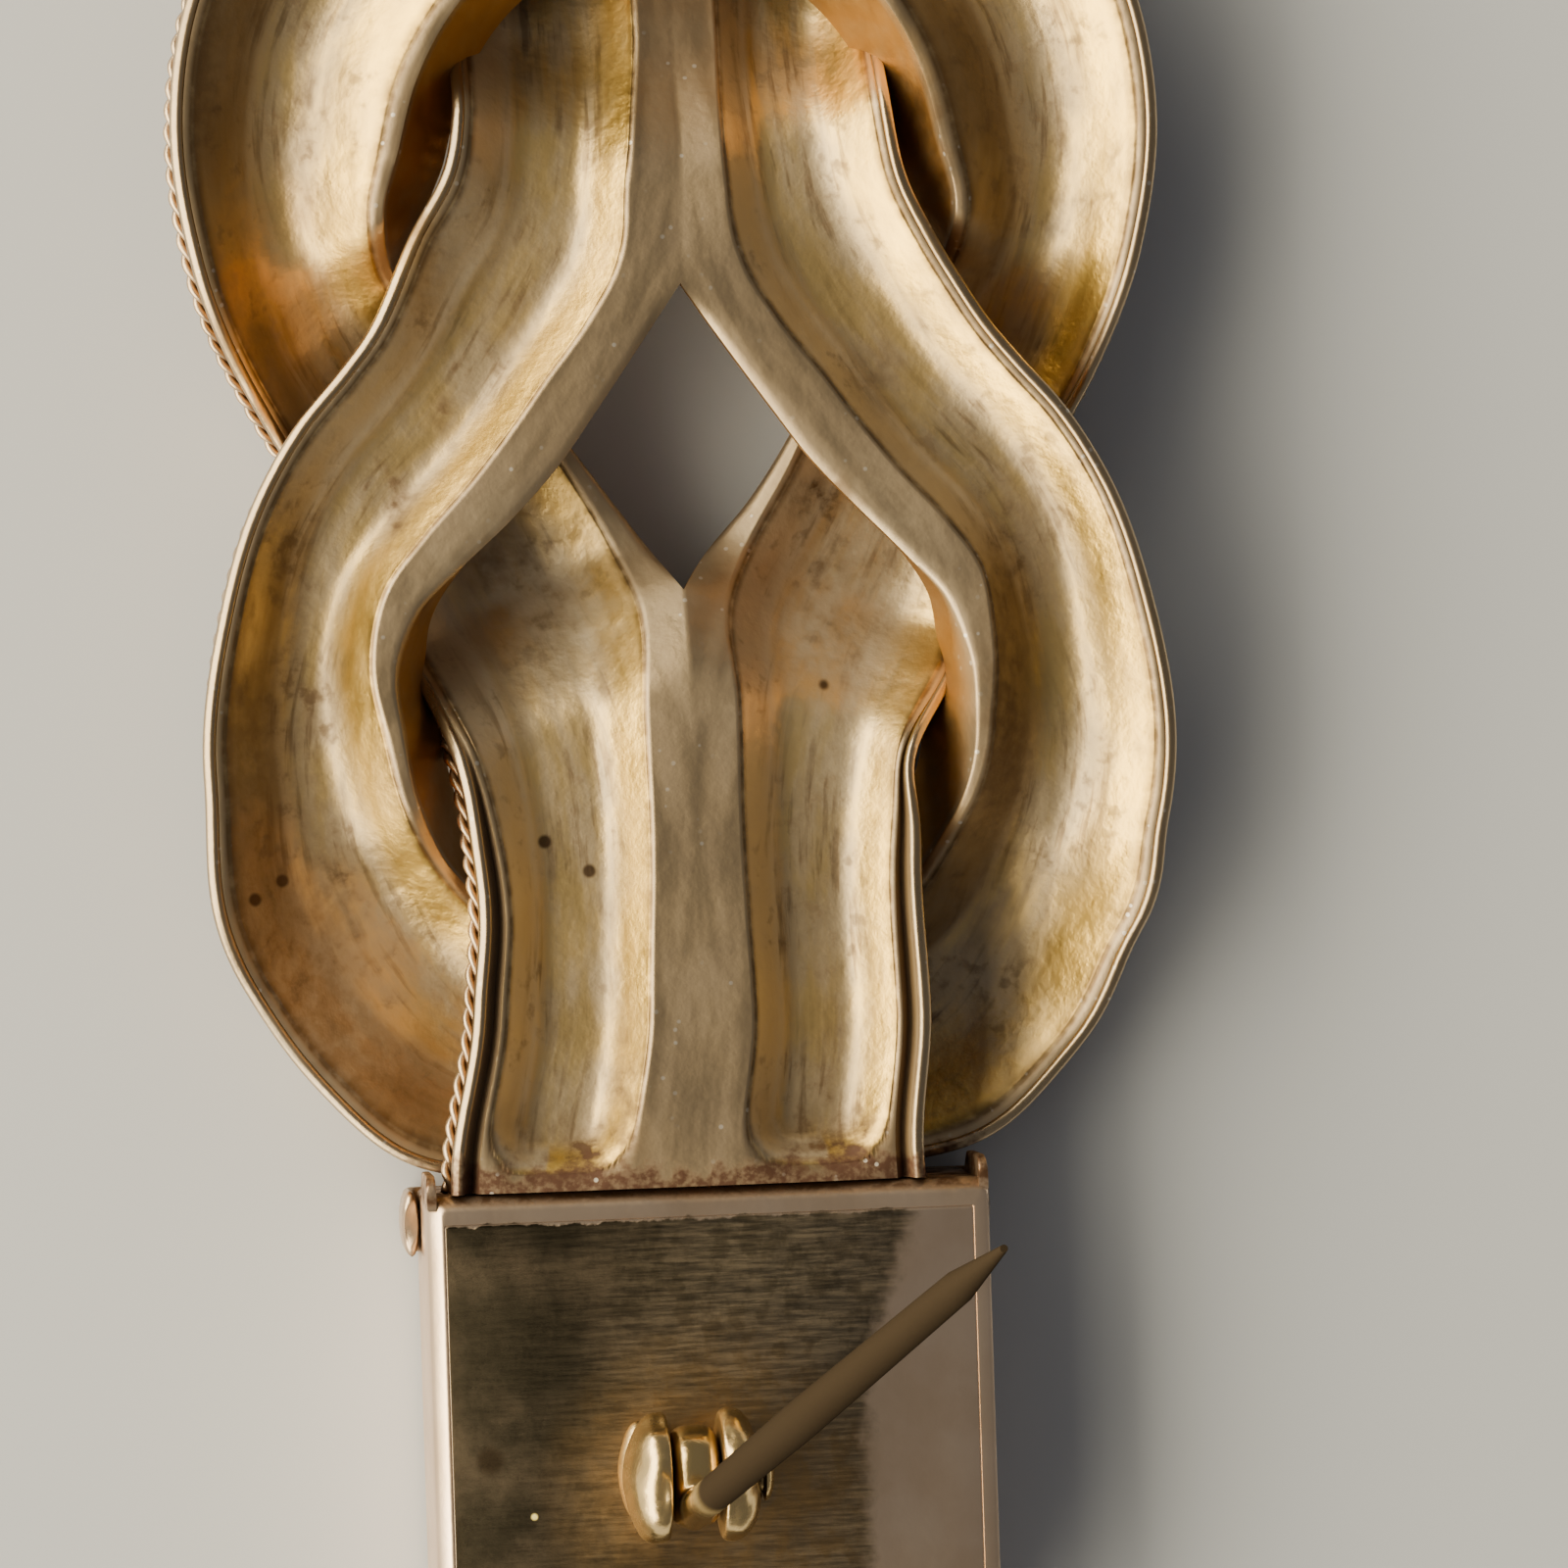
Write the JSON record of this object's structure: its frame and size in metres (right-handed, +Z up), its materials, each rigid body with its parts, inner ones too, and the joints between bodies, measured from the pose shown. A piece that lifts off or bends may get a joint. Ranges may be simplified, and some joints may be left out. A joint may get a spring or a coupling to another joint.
{
  "type": "knot brooch",
  "caption": "Pressed gold reef-knot brooch with hollow back, twisted-wire rims, box terminals and a hinged pin, lying face down with the pin open.",
  "frame": {"origin": "under the middle of the knot, on the surface that the front rests on", "axes": "+X across the brooch, +Y along it from the hinge terminal to the catch terminal, +Z up out of the back"},
  "size_m": [0.0226, 0.059, 0.0535],
  "materials": {
    "gold_knot": "aged pressed gold sheet",
    "gold_terminal": "brushed gold with tarnish",
    "gold_wire": "twisted gold wire",
    "gold_pin": "polished gold"
  },
  "bodies": {
    "brooch": {"loop_catch_end": "gold_knot", "loop_hinge_end": "gold_knot", "wire_outer_catch_right": "gold_wire", "wire_outer_catch_left": "gold_wire", "wire_outer_hinge_right": "gold_wire", "wire_outer_hinge_left": "gold_wire", "wire_inner_catch": "gold_wire", "wire_inner_hinge": "gold_wire", "terminal_catch_end": "gold_terminal", "terminal_hinge_end": "gold_terminal", "collar_catch_end": "gold_wire", "collar_hinge_end": "gold_wire", "hinge_rivet": "gold_pin", "catch_hook": "gold_pin"},
    "pin": {"pin": "gold_pin"}
  },
  "joints": [
    {"name": "pin_hinge", "type": "hinge", "parent": "brooch", "child": "pin", "pos_m": [-0.0007, -0.02339, 0.006], "axis": [1, 0, 0], "range_deg": [-79, 25]}
  ]
}
